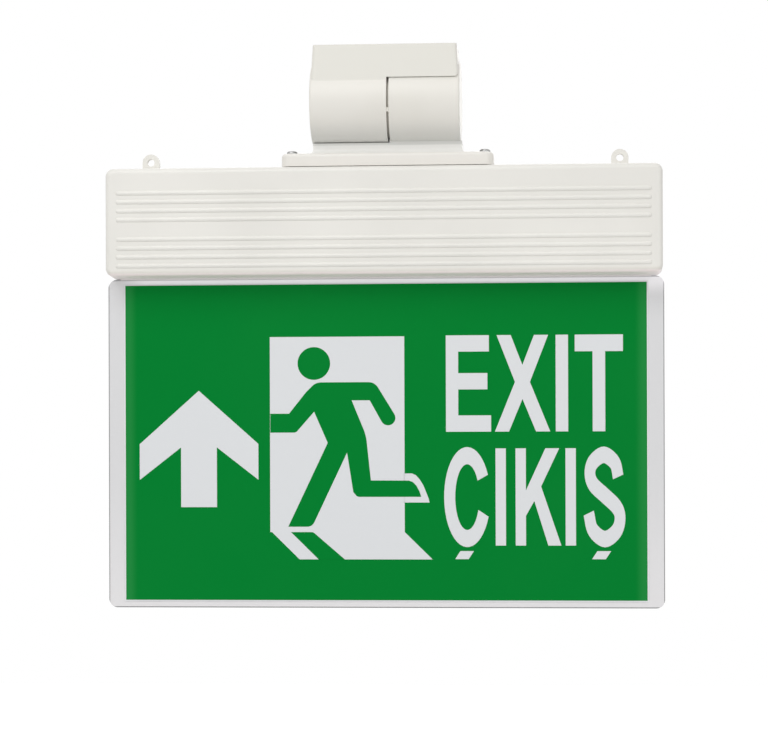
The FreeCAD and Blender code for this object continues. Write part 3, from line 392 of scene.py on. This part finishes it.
def letter_c(left, bottom, width, height, stroke):
    """A tall C between two ellipses, open to the right, with its stroke deepest at the top and foot."""
    middle = bottom + height / 2
    centre = left + width / 2
    upper_end, lower_end, upper_end_inside = 26.5, 337, 30

    def ellipse(half_width, half_height, start, end, steps=40):
        points = []
        for index in range(steps + 1):
            angle = math.radians(start + (end - start) * index / steps)
            points.append((centre + half_width * math.cos(angle), middle + half_height * math.sin(angle)))
        return points
    outside = ellipse(width / 2, height / 2, upper_end, lower_end)
    inside = ellipse(width / 2 - stroke, height / 2 - stroke * ROUND_STRETCH, lower_end, upper_end_inside)
    return outside + inside


def band(line, stroke, steps=6):
    """A smooth stroke through points, stretched upright with the letter."""
    points = [Vector((x, z / ROUND_STRETCH)) for x, z in line]
    points = [points[0] * 2 - points[1]] + points + [points[-1] * 2 - points[-2]]
    smooth = []
    for index in range(1, len(points) - 2):
        a, b, c, d = points[index - 1:index + 3]
        for step in range(steps + (index == len(points) - 3)):
            t = step / steps
            smooth.append(0.5 * (2 * b + (c - a) * t + (2 * a - 5 * b + 4 * c - d) * t * t
                                 + (3 * b - a - 3 * c + d) * t ** 3))
    near, far = [], []
    for index, point in enumerate(smooth):
        way = (smooth[min(index + 1, len(smooth) - 1)] - smooth[max(index - 1, 0)]).normalized()
        side = Vector((-way.y, way.x)) * stroke / 2
        near.append(((point + side).x, (point + side).y * ROUND_STRETCH))
        far.append(((point - side).x, (point - side).y * ROUND_STRETCH))
    return near + far[::-1]


def tail(left, base, width, slant):
    """The slanted tail that stands a little clear below a letter."""
    drop, height = 3.5, 5.1
    top = base - drop
    bottom = top - height
    return [(left, bottom), (left + width, bottom), (left + width + slant, top), (left + slant, top)]


# ---------------------------------------------------------------- the sign's artwork

# The running figure in one outline, clockwise from the wrist of the leading arm.
FRONT_ARM = [(-72.6, 18.2), (-60.6, 18.2), (-50.0, 31.5, 18.0), (-43.5, 38.0, 8.0), (-6.0, 38.0, 7.0)]
HAND = arc((2.4, 15.3), 4.7, 32, -152, 12)
BACK_ARM = [(-9.2, 26.5), (-20.7, 26.5), (-11.6, 4.3, 30.0), (-8.6, -24.3)]
FOOT = [(15.4, -24.4), (18.0, -25.3), (20.4, -27.8), (22.3, -31.5), (23.3, -34.7),
        (-17.2, -34.7, 3.0), (-19.8, -31.7), (-23.7, -6.6)]
FRONT_LEG = [(-46.0, -53.6, 5.0), (-61.3, -53.6), (-36.0, -0.4), (-44.6, 19.4), (-56.2, 6.2, 3.0),
             (-72.6, 6.2)]
FIGURE = FRONT_ARM + HAND + BACK_ARM + FOOT + FRONT_LEG
HEAD = arc((-44.7, 50.0), 10.4, 0, 350, 35)
SHADOW = [(-59.6, -57.0), (-45.4, -57.0, 3.0), (-25.3, -74.3), (-42.0, -74.3)]

# The white rim round the toe of the raised foot, where it leaves the doorway.
TOE_LINE = [(12.3, -19.9), (17.5, -19.9), (19.9, -21.0), (22.3, -23.6), (24.6, -27.3), (26.5, -32.0),
            (27.8, -35.3), (28.6, -38.3), (12.3, -38.3)]

# The middle of the stroke of the S, from its upper end to its lower one.
S_LINE = [(147.3, -22.3), (145.2, -13.5), (138.4, -8.4), (131.7, -12.9), (129.6, -19.8), (131.7, -27.0),
          (138.9, -34.0), (146.2, -41.2), (148.4, -48.1), (146.2, -56.3), (138.9, -61.4), (131.4, -55.7),
          (128.8, -45.1)]

FIGURE_INK = 0.04 * MM  # thickness of the green ink over the white doorway
MARGIN = 0.8  # width of the white line round the film, in millimetres


def upper_word():
    base, height = 6.4, 60.9
    stroke = 7.8
    return [letter_e(39.1, base, 28.5, height, stem=stroke, arm=10.3),
            letter_x(70.0, base, 34.8, height, stroke=8.9, waist=9.4),
            block(108.3, base, 108.3 + stroke, base + height),
            letter_t(120.3, base, 30.2, height, stem=7.9, arm=10.5)]


def lower_word():
    base, height = -65.5, 61.3
    stroke = 6.5
    below, above = 1.0, 0.9  # how far the round letter reaches past the straight ones
    return [letter_c(37.8, base - below, 29.2, height + below + above, stroke=7.0),
            tail(44.7, base, width=8.5, slant=3.3),
            block(70.3, base, 70.3 + stroke, base + height),
            letter_k(82.9, base, 28.7, height, stem=stroke),
            block(114.3, base, 114.3 + stroke, base + height),
            band(S_LINE, stroke=6.7),
            tail(130.8, base, width=8.6, slant=3.4)]


def sign(label, side):
    """White words and margin on one film, and the green figure on the white doorway.

    The front's side is -1 and the rear's 1."""
    low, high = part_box(label + "_film")
    print_low, print_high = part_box(label + "_print")
    film, white = high.y - low.y, print_high.y - print_low.y
    face = low.y if side < 0 else high.y
    turn = Matrix.Rotation(0 if side < 0 else math.pi, 4, "Z")
    centre_x, centre_z = (low.x + high.x) / 2, (low.z + high.z) / 2
    half_width, half_height = (high.x - low.x) / MM / 2, (high.z - low.z) / MM / 2

    def ink_layer(what, outlines, ink, level, thickness):
        """Outlines of one ink, from a level over the film's face outwards."""
        name = label + what
        mesh = flat_shape(name, outlines, thickness)
        mesh.transform(Matrix.Translation((centre_x, face + side * level, centre_z)) @ turn)
        mesh.materials.clear()
        mesh.materials.append(INK[ink])
        piece = bpy.data.objects.new(name, mesh)
        bpy.context.collection.objects.link(piece)
        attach(piece, "lamp")

    margin_rings = [block(-half_width - grow, -half_height - grow, half_width + grow, half_height + grow)
                    for grow in (MARGIN, 0)]
    ink_layer("_margin", margin_rings, "white_print", -film, film + white)
    ink_layer("_words", [TOE_LINE] + upper_word() + lower_word(), "white_print", 0, white)
    ink_layer("_figure", [rounded(FIGURE), HEAD, rounded(SHADOW)], "green_film", white, FIGURE_INK)


# ---------------------------------------------------------------- the build

film_low, film_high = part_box("front_film")
GREEN = printed("green_ink", colour(0, 126, 47), colour(38, 138, 66), 0.42, film_low, film_high)
WHITE = printed("white_ink", colour(223, 225, 227), colour(229, 230, 231), 0.45, film_low, film_high)
INK = {"green_film": GREEN, "white_print": WHITE}

# Painted shading, light and shade: from this height to that one, how much, the colour, and whether on upright
# faces alone.
shell_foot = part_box("front_shell")[0].z
# The housing's foot: painted shade darkens the rounded bottom edge, and below it a lighter, pinker painted
# light on the underside and the lip cancels the green light that the film bounces up.
HOUSING_PAINTED_SHADING = ((shell_foot + 5.5 * MM, shell_foot + 3.5 * MM, 1.0, colour(228, 225, 217), False),
                 (shell_foot + 3.6 * MM, shell_foot + 2.2 * MM, 1.0, colour(248, 236, 234), False),
                 (shell_foot + 1.0 * MM, shell_foot + 0.7 * MM, 1.0, colour(234, 229, 228), False))
barrel_foot, barrel_top = (corner.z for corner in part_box("left_end_cap"))
block_foot = barrel_top - 13.5 * MM
flange_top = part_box("hinge_leaf")[0].z + 8.1 * MM
# The bracket: painted shade on the block's upright faces and on the barrel's underside, and painted light on
# the neck and flange of the lower leaf.
BRACKET_PAINTED_SHADING = ((block_foot - 1.0 * MM, block_foot + 1.0 * MM, 1.0, colour(223, 221, 213), True),
                 (barrel_foot + 15.0 * MM, barrel_foot, 0.7, colour(208, 209, 206), False),
                 (barrel_foot - 0.2 * MM, barrel_foot - 1.2 * MM, 1.0, colour(233, 232, 228), False),
                 (flange_top + 0.5 * MM, flange_top - 0.5 * MM, 1.0, colour(231, 228, 222), False))

FINISHES = {
    "housing_plastic": moulded("housing_plastic_painted_shading_finish", colour(233, 231, 225), colour(228, 226, 220), 0.42,
                               HOUSING_PAINTED_SHADING, seam=0.8),
    "bracket_plastic": moulded("bracket_plastic_painted_shading_finish", colour(230, 227, 220), colour(225, 222, 214), 0.40,
                               BRACKET_PAINTED_SHADING),
    "acrylic": clear_plate("acrylic_painted_shading_finish", *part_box("light_guide_plate"), film_high.z, shell_foot),
    "green_film": GREEN,
    "white_print": WHITE,
    "zinc_steel": plated("zinc_steel_finish", colour(172, 172, 170), 0.32),
    "rail_aluminium": plated("rail_aluminium_finish", colour(214, 215, 217), 0.4),
    "board": plain("board_finish", colour(30, 96, 56), 0.4),
    "led_white": plain("led_white_finish", colour(240, 238, 222), 0.35),
    "battery_wrap": plain("battery_wrap_finish", colour(210, 200, 70), 0.3),
    "black_plastic": plain("black_plastic_finish", colour(34, 34, 36), 0.5),
    "terminal_plastic": plain("terminal_plastic_finish", colour(214, 214, 210), 0.45),
    "button_plastic": plain("button_plastic_finish", colour(188, 40, 34), 0.35),
    "green_lens": plain("green_lens_finish", colour(40, 160, 80), 0.15, Transmission_Weight=0.5),
    "friction_plastic": plain("friction_plastic_finish", colour(226, 223, 214), 0.5),
}

SLOT_OF = {part["node"]: part["material_slot"] for part in frame["record"]["subparts"]}
for node, thing in frame["nodes"].items():
    for slot in thing.material_slots:
        slot.material = FINISHES[SLOT_OF[node]]

sign("front", -1)
sign("rear", 1)


# ---------------------------------------------------------------- stage, light and camera

def stage():
    """A pale floor well below, which stays white to the camera but keeps a soft shadow."""
    reach, height, glow = 4.0, -0.85, 0.6
    mesh = bpy.data.meshes.new("floor")
    corners = [(x, y, height) for x, y in block(-reach, -reach, reach, reach)]
    mesh.from_pydata(corners, [], [(0, 1, 2, 3)])
    floor = bpy.data.objects.new("floor", mesh)
    bpy.context.collection.objects.link(floor)
    finish = Finish("floor_finish", Base_Color=colour(235, 235, 235), Roughness=0.9, Emission_Strength=1.0)
    finish.set(Emission_Color=finish.blend(finish.background_rays() * glow, DARK, LIGHT))
    mesh.materials.append(finish.material)


def sky():
    """White to the camera, in reflections and through clear parts; a soft grey light on the object."""
    light_on_object = 0.60
    world = bpy.data.worlds.new("studio")
    bpy.context.scene.world = world
    world.use_nodes = True
    shading = Shading(world.node_tree)
    background = world.node_tree.nodes["Background"]
    strength = light_on_object + shading.background_rays() * (1.0 - light_on_object)
    shading.join(background.inputs["Strength"], strength)
    shading.join(background.inputs["Color"], LIGHT)


def lamp(name, place, target, size, power):
    data = bpy.data.lights.new(name, "AREA")
    data.shape = "SQUARE"
    data.size = size
    data.energy = power
    holder = bpy.data.objects.new(name, data)
    bpy.context.collection.objects.link(holder)
    holder.location = place
    holder.rotation_euler = (Vector(target) - Vector(place)).to_track_quat("-Z", "Y").to_euler()


def camera():
    """A long lens level with the sign's middle, a few degrees to the right of square on."""
    distance, azimuth, eye_height = 1.4, math.radians(4.0), -0.2477
    roll = -0.003
    data = bpy.data.cameras.new("camera")
    data.lens = 103.4
    data.sensor_width = 36.0
    data.shift_x = -0.0050
    data.shift_y = 0.0905
    data.clip_start = 0.05
    data.clip_end = 50
    holder = bpy.data.objects.new("camera", data)
    bpy.context.collection.objects.link(holder)
    holder.location = (distance * math.sin(azimuth), -distance * math.cos(azimuth), eye_height)
    level = Matrix.Rotation(azimuth, 4, "Z") @ Matrix.Rotation(math.pi / 2, 4, "X")
    holder.rotation_euler = (level @ Matrix.Rotation(roll, 4, "Z")).to_euler()
    bpy.context.scene.camera = holder


stage()
sky()
lamp("key", place=(-0.5, -1.3, 1.1), target=(0, 0, -0.15), size=1.2, power=14)
lamp("fill", place=(1.2, -1.6, 0.2), target=(0, 0, -0.2), size=1.5, power=5)
lamp("back", place=(0.2, 1.5, 0.8), target=(0, 0, -0.2), size=1.5, power=9)
camera()
bpy.context.scene.view_settings.view_transform = "Standard"
